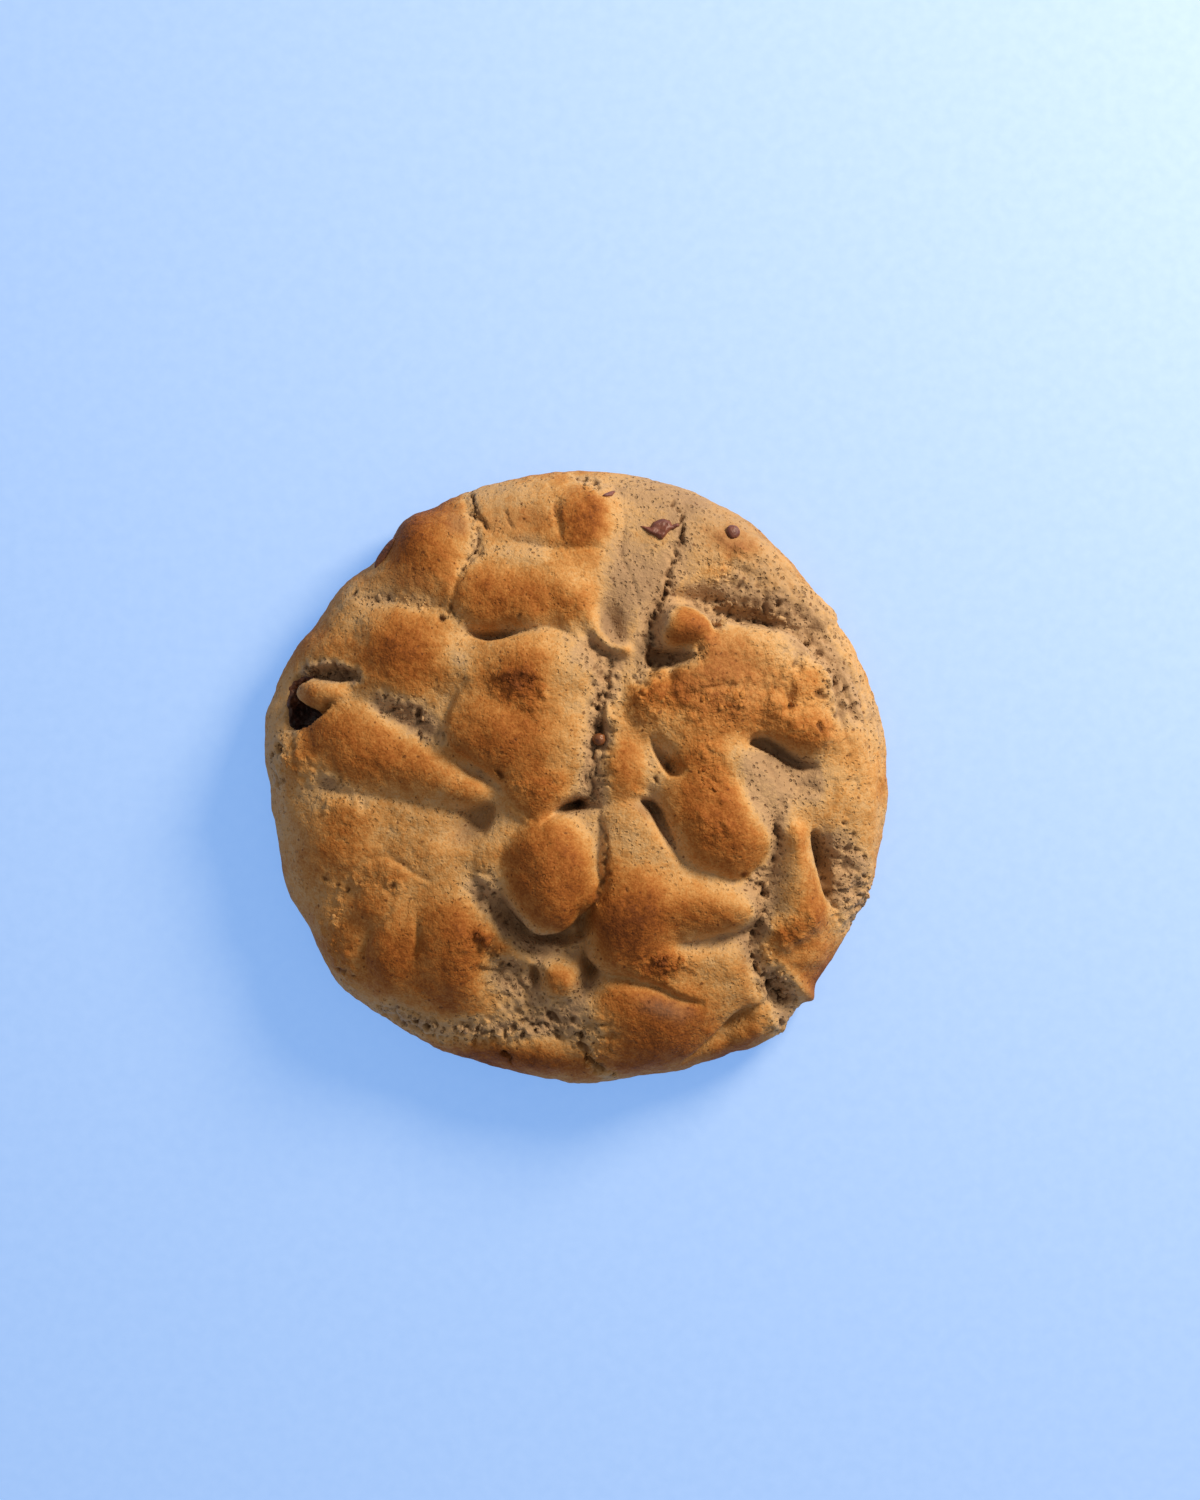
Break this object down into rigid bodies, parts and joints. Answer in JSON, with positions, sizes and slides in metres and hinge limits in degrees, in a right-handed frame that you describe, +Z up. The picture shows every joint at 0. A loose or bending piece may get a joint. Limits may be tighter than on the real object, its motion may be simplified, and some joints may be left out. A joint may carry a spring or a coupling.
{
  "type": "chai cookie",
  "caption": "Thick round spiced cookie with a lumpy, cracked, golden brown top, a flat underside and a few melted chocolate pieces.",
  "frame": {"origin": "middle of the flat underside, below the middle of the round outline", "axes": "+Z up out of the baked top; +Y towards the edge that has the two small chocolate pieces; +X to the right of it seen from above"},
  "size_m": [0.101, 0.0994, 0.0228],
  "materials": {
    "baked_dough": "matte baked crust",
    "dark_chocolate": "melted and set, satin",
    "milk_chocolate": "melted and set, matte"
  },
  "bodies": {
    "root": {"dough": "baked_dough", "chocolate_melt": "dark_chocolate", "chocolate_flake": "milk_chocolate", "chocolate_chip_rim": "milk_chocolate", "chocolate_chip_middle": "milk_chocolate", "chocolate_sliver_edge": "dark_chocolate", "chocolate_sliver_top": "milk_chocolate"}
  },
  "joints": []
}
